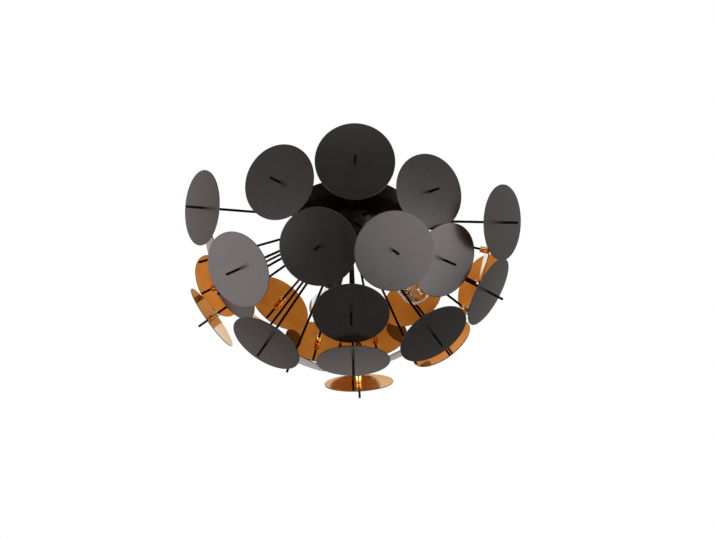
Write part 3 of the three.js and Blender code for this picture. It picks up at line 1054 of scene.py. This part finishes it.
@dataclass
class CeilingSide:
    """Cup, hub dome, bracket, terminal block and the fasteners that hold them."""

    hub: Vector
    cup_radius: float = 80.0
    cup_height: float = 23.0
    cup_wall: float = 1.5
    cup_corner: float = 3.0
    gap: float = 0.3
    dome_radius: float = 40.0
    dome_wall: float = 5.0
    dome_plate: float = 1.5
    # Height of the dome's flat top from the hub's centre.
    dome_top: float = -1.5
    bolt_radius: float = 5.0
    bracket_under: float = -2.3
    earth_at: float = -28.0
    earth_head: tuple[float, float] = (3.6, 2.2)
    earth_washer: float = 4.6
    block_at: float = 20.0
    block_length: float = 30.0
    block_bottom: float = -14.3
    block_ways: int = 3
    clamp_head: tuple[float, float] = (1.5, 0.9)
    clamp_side: float = 3.4
    clamp_depth: float = 4.2
    body: str = "lamp"

    def make_cup(self) -> None:
        """The ceiling cup: spun sheet with a rounded lower corner and an eased top edge."""
        low = -(self.gap + self.cup_height)
        floor = low + self.cup_wall
        inner = self.cup_radius - self.cup_wall
        hole = self.bolt_radius + self.gap
        corner = self.cup_corner
        small = corner - self.cup_wall
        profile = [
            (hole, low),
            (self.cup_radius - corner - 1.0, low),
            *arc((self.cup_radius - corner, low + corner), corner, -90, 0, 8),
            (self.cup_radius, low + corner + 1.0),
            (self.cup_radius, -self.gap - 0.4),
            (self.cup_radius - 0.15, -self.gap - 0.1),
            (self.cup_radius - 0.4, -self.gap),
            (inner + 0.4, -self.gap),
            (inner, -self.gap - 0.4),
            *arc((inner - small, floor + small), small, 0, -90, 5),
            (hole, floor),
        ]
        cup = Bench.turn("ceiling_cup", profile, 160, loop=True)
        finish_piece(cup, self.body, [CUP_BLACK], ["canopy"])

    def make_dome(self) -> None:
        """The cast hub dome, closed at the top by its plate."""
        r = self.dome_radius
        plate = self.dome_top
        inner = r - self.dome_wall
        rim = math.degrees(math.asin(plate / r))
        inner_rim = math.degrees(math.asin((plate - self.dome_plate) / inner))
        hole = self.bolt_radius + self.gap
        edge = math.sqrt(r**2 - plate**2)
        profile = [
            (0.0, -r),
            *arc((0, 0), r, -90, rim - 1.2, 30)[1:],
            (edge - 0.12, plate - 0.25),
            (edge - 0.5, plate),
            (hole, plate),
            (hole, plate - self.dome_plate),
            *arc((0, 0), inner, inner_rim, -90, 14)[:-1],
            (0.0, -inner),
        ]
        dome = Bench.turn("hub_dome_shell", profile, 96)
        dome.data.transform(Matrix.Translation(self.hub))
        finish_piece(dome, self.body, [DOME_BLACK], ["hub_dome"])

    def make_fittings(self) -> None:
        """The steel fittings and the terminal block, each with its edges eased."""
        table = [
            ("ceiling_bracket", "bracket_strip", Slot.STEEL, ZINC, 0.25, 30),
            ("hub_bolt", "hub_bolt_body", Slot.STEEL, ZINC, 0.3, 40),
            ("hub_nut", "hub_nut_body", Slot.STEEL, ZINC, 0.3, 40),
            ("canopy_screw_front", "cup_screw_front", Slot.CUP, CUP_BLACK, 0.12, 30),
            ("canopy_screw_back", "cup_screw_back", Slot.CUP, CUP_BLACK, 0.12, 30),
            ("terminal_block", "terminal_block_body", Slot.BLOCK, BLOCK_WHITE, 0.3, 30),
        ]
        for node, name, slot, finish, bevel, degrees in table:
            piece = Bench.refined(node, name, bevel, degrees)
            finish_piece(piece, self.body, [finish], [node], degrees=25.0)

    def model_screw(self, name: str, radius: float, head: float) -> bpy.types.Object:
        """A cross-slotted pan-head screw seen from +Z, its seat at height 0.

        Args:
            name: Name of the new object.
            radius: Radius of the head in millimetres.
            head: Height of the head.

        Returns:
            The screw head, in object mode.
        """
        profile = [(0.0, -0.6), (radius * 0.55, -0.6), (radius * 0.55, 0.0), (radius, 0.0)]
        profile += [(radius, head * 0.4), (radius * 0.86, head * 0.8), (radius * 0.5, head)]
        profile += [(0.0, head)]
        screw = Bench.turn(name, profile, 24)
        width = radius * 0.14
        for spin in (0, 90):
            Bench.clear()
            bpy.ops.mesh.primitive_cube_add(
                size=MM,
                location=(0, 0, head * MM),
                rotation=(0, 0, math.radians(spin)),
            )
            cutter = bpy.context.object
            cutter.scale = (radius * 1.1, width * 2, head * 0.8)
            bpy.ops.object.transform_apply(location=True, rotation=True, scale=True)
            Bench.apply(screw, "BOOLEAN", object=cutter, operation="DIFFERENCE", solver="EXACT")
            Bench.discard(cutter)
        return screw

    def make_small_fasteners(self) -> None:
        """The earth screw under the bracket and the clamping screws in the terminal block."""
        down = Matrix.Rotation(math.pi, 4, "X")
        earth = self.model_screw("earth_screw", *self.earth_head)
        washer = Bench.prism("earth_washer", self.earth_washer, -0.05, 0.6, 32, bevel=0.15)
        earth = Bench.join("earth_screw", [earth, washer])
        seat = Matrix.Translation((0, self.earth_at * MM, self.bracket_under * MM))
        earth.data.transform(seat @ down)
        finish_piece(earth, self.body, [BRASS])
        pitch = self.block_length / self.block_ways
        pattern = self.model_screw("clamp_pattern", *self.clamp_head)
        height = self.block_bottom + self.clamp_depth
        middle_way = (self.block_ways - 1) / 2
        screws = []
        for way in range(self.block_ways):
            for side in (-1, 1):
                y = self.block_at + pitch * (way - middle_way)
                seat = Matrix.Translation((side * self.clamp_side * MM, y * MM, height * MM))
                screws.append(Bench.copy(pattern, f"clamp_{way}_{side}", seat @ down))
        Bench.discard(pattern)
        clamps = Bench.join("block_clamp_screws", screws)
        finish_piece(clamps, self.body, [BRASS])

    def make(self) -> None:
        """Makes the whole ceiling side."""
        self.make_cup()
        self.make_dome()
        self.make_fittings()
        self.make_small_fasteners()


# Lamp holders and bulbs


@dataclass
class LampHolder:
    """One black lamp holder on its threaded tube. Heights run out along its line from the hub."""

    number: int
    aim: Aim
    arm_radius: float = 5.0
    arm_pitch: float = 1.0
    arm_hex: float = 39.95
    arm_hex_height: float = 3.8
    back: float = 51.75
    bore_depth: float = 6.3
    neck_radius: float = 8.0
    neck_length: float = 4.0
    shoulder_length: float = 14.0
    radius: float = 14.0
    floor: float = 79.45
    shell_top: float = 97.45
    mouth: float = 102.95
    socket_radius: float = 8.25
    mouth_radius: float = 9.2
    shell_inner: float = 7.25
    shell_wall: float = 0.7
    pitch: float = 2.82
    ribs: int = 48
    rib_height: float = 0.3
    rib_from_radius: float = 12.0
    body: str = "lamp"

    def make_tube(self) -> None:
        """The threaded tube between dome and holder, with its hexagon."""
        node = f"holder_arm_{self.number}"
        tube = Bench.refined(node, f"holder_tube_{self.number}", 0.25, 40)
        finish_piece(tube, self.body, [ZINC], [node], degrees=25.0)
        start = self.arm_hex + self.arm_hex_height
        turns = (self.back - start) / self.arm_pitch - 0.6
        name = f"holder_tube_thread_{self.number}"
        middle = self.arm_radius - 0.1
        thread = Bench.coil(name, middle, (0.3, 0.42), self.arm_pitch, start, turns)
        thread.data.transform(self.aim.place())
        finish_piece(thread, self.body, [ZINC])

    def make_housing(self) -> None:
        """The moulded housing: neck, ribbed shoulder, joint line, plain skirt and socket."""
        r = self.radius
        start = self.back + self.neck_length
        skirt = start + self.shoulder_length
        profile = [
            (0.0, self.back + self.bore_depth),
            (self.arm_radius + 0.3, self.back + self.bore_depth),
            (self.arm_radius + 0.3, self.back),
            (self.neck_radius - 0.5, self.back),
            (self.neck_radius, self.back + 0.5),
            (self.neck_radius, start - 0.4),
            (self.neck_radius + 0.4, start),
            (10.4, start + 2.2),
            (12.3, start + 5.2),
            (13.3, start + 9.0),
            (13.7, skirt - 1.6),
            (r, skirt - 1.2),
            (r, skirt + 1.0),
            (r - 0.6, skirt + 1.4),
            (r - 0.6, skirt + 2.2),
            (r - 0.15, skirt + 2.6),
            (r - 0.15, skirt + 4.4),
            (r - 0.7, skirt + 4.8),
            (r - 0.7, skirt + 5.4),
            (r - 0.15, skirt + 5.8),
            (r - 0.15, self.mouth - 3.0),
            (r, self.mouth - 2.6),
            (r, self.mouth - 0.5),
            (r - 0.15, self.mouth - 0.12),
            (r - 0.5, self.mouth),
            (self.mouth_radius + 0.5, self.mouth),
            (self.mouth_radius + 0.1, self.mouth - 0.15),
            (self.mouth_radius, self.mouth - 0.5),
            (self.mouth_radius, self.shell_top),
            (self.socket_radius, self.shell_top),
            (self.socket_radius, self.floor),
            (0.0, self.floor),
        ]
        housing = Bench.turn(f"holder_housing_{self.number}", profile, self.ribs * 2)
        low, high = (start + 5.0) * MM, (skirt - 1.4) * MM
        Bench.edit(housing)
        step = math.pi / self.ribs

        def on_rib(face: bmesh.types.BMFace) -> bool:
            """Says whether a face is on every second strip of the shoulder.

            Args:
                face: A face of the housing.

            Returns:
                Whether it is one of those that become a rib.
            """
            middle = face.calc_center_median()
            outside = math.hypot(middle.x, middle.y) > self.rib_from_radius * MM
            strip = int((math.atan2(middle.y, middle.x) % math.tau) / step)
            return outside and low < middle.z < high and strip % 2 == 0

        Bench.pick(housing, Side.FACES, on_rib)
        bpy.ops.mesh.extrude_region_shrink_fatten(
            TRANSFORM_OT_shrink_fatten={"value": self.rib_height * MM}
        )
        bpy.ops.object.mode_set(mode="OBJECT")
        housing.data.transform(self.aim.place())
        node = f"lamp_holder_{self.number}"
        finish_piece(housing, self.body, [HOLDER_BLACK], [node])

    def make_shell(self) -> None:
        """The brass thread shell with its rolled inner thread."""
        low = self.floor + 0.3
        inner, outer = self.shell_inner, self.shell_inner + self.shell_wall
        profile = [
            (4.4, low),
            (outer - 0.3, low),
            (outer, low + 0.3),
            (outer, self.shell_top - 0.2),
            (outer - 0.2, self.shell_top),
            (inner + 0.1, self.shell_top),
            (inner, self.shell_top - 0.15),
            (inner, low + self.shell_wall),
            (4.4, low + self.shell_wall),
        ]
        shell = Bench.turn("shell", profile, 64, loop=True)
        start = low + 1.9 + self.pitch / 2
        turns = (self.shell_top - low - 4.0) / self.pitch - 0.5
        thread = Bench.coil("thread", inner + 0.05, (0.35, 0.6), self.pitch, start, turns)
        shell = Bench.join(f"holder_thread_shell_{self.number}", [shell, thread])
        shell.data.transform(self.aim.place())
        node = f"holder_shell_{self.number}"
        finish_piece(shell, self.body, [BRASS], [node], degrees=40.0)

    def make(self) -> None:
        """Makes the holder."""
        self.make_tube()
        self.make_housing()
        self.make_shell()


@dataclass
class Bulb:
    """One clear golf-ball bulb. Heights run out along its holder's line from the hub."""

    number: int
    aim: Aim
    contact: float = 80.05
    cap_bottom: float = 82.05
    cap_radius: float = 6.95
    flare: float = 97.85
    skirt_radius: float = 8.5
    skirt_top: float = 105.0
    neck_bottom: float = 100.0
    neck_radius: float = 7.6
    wall: float = 0.8
    ball: float = 22.5
    middle: float = 135.5
    fillet: float = 8.0
    stem_top: float = 120.0
    pitch: float = 2.82
    lead_radius: float = 0.28
    hook_radius: float = 0.14
    filament_radius: float = 0.07
    filament_spread: float = 8.5
    filament_rise: float = 17.0
    filament_bow: float = 1.6
    coils: int = 70
    coil_radius: float = 0.32
    steps_per_coil: int = 6

    @property
    def body(self) -> str:
        """The CAD body of what turns."""
        return f"bulb_{self.number}"

    def make_globe(self) -> None:
        """The glass globe: blown ball, filleted neck and an inner skin."""

        def skin(ball: float, neck: float, fillet: float) -> list[tuple[float, float]]:
            """Profile of one surface of the glass, from the neck to the pole.

            Args:
                ball: Radius of the ball.
                neck: Radius of the neck.
                fillet: Radius of the hollow between them.

            Returns:
                The profile's points.
            """
            across = neck + fillet
            along = math.sqrt((ball + fillet) ** 2 - across**2)
            meet = math.degrees(math.atan2(along, across))
            return [
                (neck, self.neck_bottom),
                (neck, self.neck_bottom + 3),
                *arc((across, self.middle - along), fillet, 180, 180 - meet, 8),
                *arc((0, self.middle), ball, -meet, 90, 26)[1:],
            ]

        outer = skin(self.ball, self.neck_radius, self.fillet)
        inner = skin(self.ball - self.wall, self.neck_radius - self.wall, self.fillet + self.wall)
        inner[-1] = (0.0, inner[-1][1])
        outer[-1] = (0.0, outer[-1][1])
        globe = Bench.turn(f"bulb_globe_{self.number}", [*reversed(inner), *outer], 72)
        globe.data.transform(self.aim.place())
        node = f"bulb_glass_{self.number}"
        finish_piece(globe, self.body, [GLOBE_GLASS], [node], degrees=60.0)

    def make_cap(self) -> None:
        """The nickel screw cap: rolled thread, flare, and skirt with its crimped top."""
        root = self.cap_radius - 0.6
        skirt = self.skirt_radius
        inside = skirt - 0.6
        profile = [
            (0.0, self.cap_bottom + 0.1),
            (4.2, self.cap_bottom + 0.1),
            (root - 0.9, self.cap_bottom + 0.5),
            (root, self.cap_bottom + 1.6),
            (root, self.flare - 0.8),
            (root + 0.3, self.flare - 0.2),
            (skirt - 0.3, self.flare + 1.3),
            (skirt, self.flare + 1.9),
            (skirt, self.skirt_top - 1.6),
            (skirt - 0.25, self.skirt_top - 1.2),
            (skirt, self.skirt_top - 0.8),
            (skirt, self.skirt_top - 0.2),
            (skirt - 0.15, self.skirt_top),
            (inside + 0.1, self.skirt_top),
            (inside, self.skirt_top - 0.2),
            (inside, self.neck_bottom - 0.3),
            (0.0, self.neck_bottom - 0.3),
        ]
        cap = Bench.turn("cap", profile, 64)
        turns = (self.flare - self.cap_bottom - 3.4) / self.pitch
        start = self.cap_bottom + 2.0
        thread = Bench.coil("thread", root, (0.6, 0.95), self.pitch, start, turns)
        cap = Bench.join(f"bulb_screw_cap_{self.number}", [cap, thread])
        cap.data.transform(self.aim.place())
        node = f"bulb_cap_{self.number}"
        finish_piece(cap, self.body, [NICKEL], [node], degrees=40.0)

    def make_foot(self) -> None:
        """The foot: a cone of black glass with a solder button, which slides with the bulb."""
        top = self.contact + 1.7
        cone = [
            (0.0, self.contact + 0.5),
            (2.0, self.contact + 0.5),
            (2.5, self.contact + 0.7),
            (3.8, top - 0.3),
            (3.8, top),
            (0.0, top),
        ]
        button = [
            (0.0, self.contact),
            (0.9, self.contact + 0.08),
            (1.5, self.contact + 0.3),
            (1.75, self.contact + 0.6),
            (1.7, self.contact + 0.8),
            (0.0, self.contact + 0.9),
        ]
        node = f"bulb_contact_{self.number}"
        body = f"bulb_foot_{self.number}"
        for name, profile, slot, finish in (
            ("foot_insulator", cone, Slot.STEM, INSULATOR),
            ("foot_contact", button, Slot.BRASS, SOLDER),
        ):
            piece = Bench.turn(f"{name}_{self.number}", profile, 32)
            piece.data.transform(self.aim.place())
            finish_piece(piece, body, [finish], [node], degrees=40.0)

    def make_stem(self) -> None:
        """The pressed glass stem with its flare, pinch and bead."""
        low = self.neck_bottom + 0.1
        top = self.stem_top
        profile = [
            (0.0, low),
            (6.3, low),
            (6.4, low + 0.8),
            (5.0, low + 2.4),
            (3.6, low + 5.2),
            (2.7, low + 9.0),
            (2.4, low + 12.5),
            (2.5, top - 4.0),
            (3.1, top - 2.0),
            (3.0, top - 0.7),
            (2.0, top),
            (0.0, top + 0.2),
        ]
        stem = Bench.turn(f"bulb_stem_{self.number}", profile, 36)
        stem.data.transform(self.aim.place())
        node = f"bulb_stem_{self.number}"
        finish_piece(stem, self.body, [STEM_GLASS], [node], degrees=60.0)

    @staticmethod
    def wire(name: str, points: Sequence[Point], radius: float) -> bpy.types.Object:
        """A smooth wire along points, turned into a closed mesh.

        Args:
            name: Name of the new object.
            points: Places in the bulb's own frame; the wire rounds the corners between them.
            radius: Radius of the wire.

        Returns:
            The wire's mesh object.
        """
        Bench.clear()
        curve = bpy.data.curves.new(name, "CURVE")
        curve.dimensions = "3D"
        curve.bevel_depth = radius * MM
        curve.bevel_resolution = 2
        curve.use_fill_caps = True
        curve.resolution_u = 6
        spline = curve.splines.new("NURBS")
        spline.points.add(len(points) - 1)
        for target, point in zip(spline.points, points):
            target.co = (point[0] * MM, point[1] * MM, point[2] * MM, 1)
        spline.use_endpoint_u = True
        spline.order_u = 3
        piece = bpy.data.objects.new(name, curve)
        bpy.context.scene.collection.objects.link(piece)
        Bench.take(piece)
        bpy.ops.object.convert(target="MESH")
        return bpy.context.object

    def make_filament(self) -> None:
        """Two lead wires, three support hooks and the coiled filament in a shallow arc."""
        top = self.stem_top
        spread, rise = self.filament_spread, top + self.filament_rise
        leads = [
            self.wire(
                "lead",
                [
                    (s * 1.2, 0, top - 3),
                    (s * 1.3, 0, top + 1),
                    (s * 3.0, 0, top + 6),
                    (s * spread, 0, rise - 4),
                    (s * spread, 0, rise),
                ],
                self.lead_radius,
            )
            for s in (-1, 1)
        ]
        hooks = [
            self.wire(
                "hook",
                [
                    (0, 0.6, top - 1),
                    (x * 0.3, 2.2, top + 5),
                    (x, 2.0, rise - 2),
                    (x, 0.6, rise + 1.4),
                ],
                self.hook_radius,
            )
            for x in (-3.2, 0.0, 3.2)
        ]
        wires = Bench.join(f"bulb_lead_wires_{self.number}", leads + hooks)
        r, steps = self.coil_radius, self.coils * self.steps_per_coil
        line = []
        for i in range(steps + 1):
            t = i / steps
            x = spread * (2 * t - 1)
            bow = self.filament_bow * math.sin(math.pi * t)
            turn = math.tau * t * self.coils
            line.append((x, r * math.cos(turn) + 0.2, rise + bow + r * math.sin(turn)))
        filament = self.wire(f"bulb_filament_{self.number}", line, self.filament_radius)
        for piece, finish in ((wires, NICKEL), (filament, TUNGSTEN)):
            piece.data.transform(self.aim.place())
            finish_piece(piece, self.body, [finish], degrees=60.0)

    def make(self) -> None:
        """Makes the bulb."""
        self.make_globe()
        self.make_cap()
        self.make_foot()
        self.make_stem()
        self.make_filament()


# Studio


@dataclass(frozen=True)
class SoftBox:
    """A soft studio lamp that looks at the hub. Angles are in degrees, sizes in metres."""

    name: str
    azimuth: float
    elevation: float
    distance: float
    width: float
    height: float
    radiance: float

    def hang(self, hub: Vector) -> None:
        """Hangs the lamp at its place round the hub.

        Args:
            hub: The hub's centre in metres.
        """
        a, e = math.radians(self.azimuth), math.radians(self.elevation)
        line = Vector((math.cos(e) * math.sin(a), -math.cos(e) * math.cos(a), math.sin(e)))
        data = bpy.data.lights.new(self.name, "AREA")
        data.shape = "RECTANGLE"
        data.size = self.width
        data.size_y = self.height
        data.energy = self.radiance * math.pi * self.width * self.height
        lamp = bpy.data.objects.new(self.name, data)
        bpy.context.scene.collection.objects.link(lamp)
        lamp.location = hub + line * self.distance
        lamp.rotation_euler = (-line).to_track_quat("-Z", "Y").to_euler()


@dataclass
class Studio:
    """A room of graded walls, a pale floor, soft boxes and the camera. Sizes are in metres."""

    hub: Vector
    floor_height: float = -2.4
    floor_size: float = 5.6
    # What the camera sees of the floor is a plain tone for this share, and for the rest its paint.
    floor_seen: str = "f6f5f3"
    floor_share: float = 0.8
    # The camera's place from the hub's centre.
    eye: Point = (0.0093, -1.7088, -0.8815)
    # The lamp's downward line as the camera sees it: right, down and ahead.
    down: Point = (0.02, 0.905, -0.425)
    focal_pixels: float = 1357.3
    frame_pixels: float = 716.0
    sensor_mm: float = 36.0
    # Where the ceiling takes over from the walls, as the height of a unit line towards it.
    ceiling_span: tuple[float, float] = (0.1, 0.6)
    # Where its front tone goes over to its back one, as that line's way to the back.
    ceiling_depth: tuple[float, float] = (-0.05, 0.6)
    ceiling_front: str = "b8b6b4"
    ceiling_back: str = "fffaf6"
    # Where the walls get darker towards the floor, and how much of their tone is left there.
    skirting_span: tuple[float, float] = (-0.6, 0.1)
    skirting_share: float = 0.68
    # The plain grey that the room gives to rays that are neither mirrored nor seen.
    fill: float = 0.32
    # Tones round the room, by degrees from the camera's side, counted to the right.
    walls: tuple[tuple[float, str], ...] = (
        (-180, "fff4ee"),
        (-116, "fdeee8"),
        (-60, "fffbfa"),
        (-29, "b4b2b2"),
        (4, "848384"),
        (33, "a0a0a1"),
        (62, "dcdad9"),
        (90, "f0ece9"),
        (115, "d8cfcb"),
        (143, "a09d9c"),
        (165, "e1d8d3"),
        (180, "fff4ee"),
    )

    def make_camera(self) -> None:
        """The camera, at its place from the hub and tilted by the lamp's downward line."""
        down = Vector(self.down).normalized()
        ahead = Vector((0, 0, -1)) + down * down.z
        ahead.normalize()
        across = ahead.cross(down)
        axes = Matrix((across, -ahead, -down))
        right = axes @ Vector((1, 0, 0))
        up = axes @ Vector((0, -1, 0))
        back = axes @ Vector((0, 0, -1))
        data = bpy.data.cameras.new("camera")
        data.sensor_width = self.sensor_mm
        data.lens = self.sensor_mm * self.focal_pixels / self.frame_pixels
        data.clip_end = 50.0
        camera = bpy.data.objects.new("camera", data)
        bpy.context.scene.collection.objects.link(camera)
        turn = Matrix((right, up, back)).transposed().to_4x4()
        camera.matrix_world = Matrix.Translation(self.hub + Vector(self.eye)) @ turn
        bpy.context.scene.camera = camera

    def make_floor(self) -> None:
        """The plain pale floor, a long way under the lamp, mostly white to the camera."""
        Bench.clear()
        bpy.ops.mesh.primitive_plane_add(size=self.floor_size, location=(0, 0, self.floor_height))
        floor = bpy.context.object
        floor.name = "floor"
        paint = FLOOR_PAINT.material()
        tree = paint.node_tree
        surface = tree.nodes["Material Output"].inputs["Surface"]
        seen = add_node(tree, "ShaderNodeLightPath").outputs["Is Camera Ray"]
        share = add_node(
            tree, "ShaderNodeMath", {0: seen, 1: self.floor_share}, operation="MULTIPLY"
        )
        glow = add_node(tree, "ShaderNodeEmission", {"Color": linear(self.floor_seen)})
        blend = add_node(
            tree,
            "ShaderNodeMixShader",
            {0: share.outputs[0], 1: surface.links[0].from_socket, 2: glow.outputs[0]},
        )
        tree.links.new(blend.outputs[0], surface)
        floor.data.materials.append(paint)

    def make_world(self) -> None:
        """White behind the lamp for the camera, and a studio that its gloss can mirror."""
        world = bpy.data.worlds.new("studio_room")
        bpy.context.scene.world = world
        world.use_nodes = True
        tree = world.node_tree
        tree.nodes.clear()
        ray = add_node(tree, "ShaderNodeLightPath")
        way = add_node(tree, "ShaderNodeTexCoord")
        axes = add_node(tree, "ShaderNodeSeparateXYZ", {0: way.outputs["Generated"]})
        right, back, up = axes.outputs
        front = add_node(tree, "ShaderNodeMath", {0: back, 1: -1.0}, operation="MULTIPLY")
        turn = add_node(
            tree, "ShaderNodeMath", {0: right, 1: front.outputs[0]}, operation="ARCTAN2"
        )
        round_way = add_node(
            tree,
            "ShaderNodeMapRange",
            {"Value": turn.outputs[0], "From Min": -math.pi, "From Max": math.pi},
        )
        wall = add_node(tree, "ShaderNodeValToRGB", {0: round_way.outputs[0]})
        stops = wall.color_ramp
        stops.interpolation = "EASE"
        places = [(azimuth + 180) / 360 for azimuth, _ in self.walls]
        for place in places[1:-1]:
            stops.elements.new(place)
        for stop, place, (_, paint) in zip(stops.elements, places, self.walls):
            stop.position = place
            stop.color = linear(paint)
        high, behind = (
            add_node(
                tree,
                "ShaderNodeMapRange",
                {"Value": value, "From Min": span[0], "From Max": span[1]},
                interpolation_type="SMOOTHSTEP",
            )
            for value, span in ((up, self.ceiling_span), (back, self.ceiling_depth))
        )
        low = add_node(
            tree,
            "ShaderNodeMapRange",
            {
                "Value": up,
                "From Min": self.skirting_span[0],
                "From Max": self.skirting_span[1],
                "To Min": self.skirting_share,
                "To Max": 1.0,
            },
        )
        clear = add_node(
            tree,
            "ShaderNodeMath",
            {0: ray.outputs["Is Camera Ray"], 1: ray.outputs["Is Transmission Ray"]},
            operation="MAXIMUM",
        )
        front_tone, back_tone = linear(self.ceiling_front), linear(self.ceiling_back)
        ceiling = add_node(
            tree,
            "ShaderNodeMix",
            {"Factor": behind.outputs[0], COLOUR_A: front_tone, COLOUR_B: back_tone},
            data_type="RGBA",
        ).outputs[COLOUR_OUT]
        skirting = add_node(
            tree,
            "ShaderNodeMix",
            {"Factor": low.outputs[0], COLOUR_A: linear("000000"), COLOUR_B: wall.outputs[0]},
            data_type="RGBA",
        ).outputs[COLOUR_OUT]
        room = add_node(
            tree,
            "ShaderNodeMix",
            {"Factor": high.outputs[0], COLOUR_A: skirting, COLOUR_B: ceiling},
            data_type="RGBA",
        ).outputs[COLOUR_OUT]
        fill = (self.fill, self.fill, self.fill, 1.0)
        gloss = add_node(
            tree,
            "ShaderNodeMix",
            {"Factor": ray.outputs["Is Glossy Ray"], COLOUR_A: fill, COLOUR_B: room},
            data_type="RGBA",
        ).outputs[COLOUR_OUT]
        seen = add_node(
            tree,
            "ShaderNodeMix",
            {"Factor": clear.outputs[0], COLOUR_A: gloss, COLOUR_B: linear("ffffff")},
            data_type="RGBA",
        ).outputs[COLOUR_OUT]
        light = add_node(tree, "ShaderNodeBackground", {"Color": seen, "Strength": 1.0})
        add_node(tree, "ShaderNodeOutputWorld", {"Surface": light.outputs[0]})

    def make_lamps(self) -> None:
        """Three soft boxes: large ones low at the left and the right, a small one high in front."""
        # Azimuth, elevation, distance, width, height and radiance of each.
        for box in (
            SoftBox("box_left", -70, -23, 2.4, 2.9, 1.7, 3.05),
            SoftBox("box_right", 58, -26, 2.5, 3.15, 2.25, 4.0),
            SoftBox("box_front", 4, 22, 2.6, 1.1, 0.75, 1.3),
        ):
            box.hang(self.hub)

    def make(self) -> None:
        """Sets the studio up."""
        self.make_camera()
        self.make_floor()
        self.make_world()
        self.make_lamps()
        bpy.context.scene.view_settings.view_transform = "Standard"


def bulb_lines() -> list[Aim]:
    """Reads the three bulbs' lines out of the hub from the record's joints.

    Returns:
        One line for each bulb.
    """
    hinges = {j["name"]: j for j in frame["joints"] if j["type"] == "hinge"}
    lines = []
    for number in (1, 2, 3):
        joint = hinges[f"bulb_{number}_turn"]
        lines.append(Aim(Vector(joint["pos_m"]), Vector(joint["axis"]).normalized()))
    return lines


def main() -> None:
    """Builds the lamp and its studio."""
    logging.basicConfig(level=logging.INFO, format="%(message)s")
    lines = bulb_lines()
    hub = lines[0].hub
    Bench.clear()
    Studio(hub).make()
    CeilingSide(hub).make()
    DiscBasket(hub).make()
    for number, line in enumerate(lines, start=1):
        LampHolder(number, line).make()
        Bulb(number, line).make()
    Bench.clear()
    bpy.context.view_layer.update()


if __name__ == "__main__":
    main()
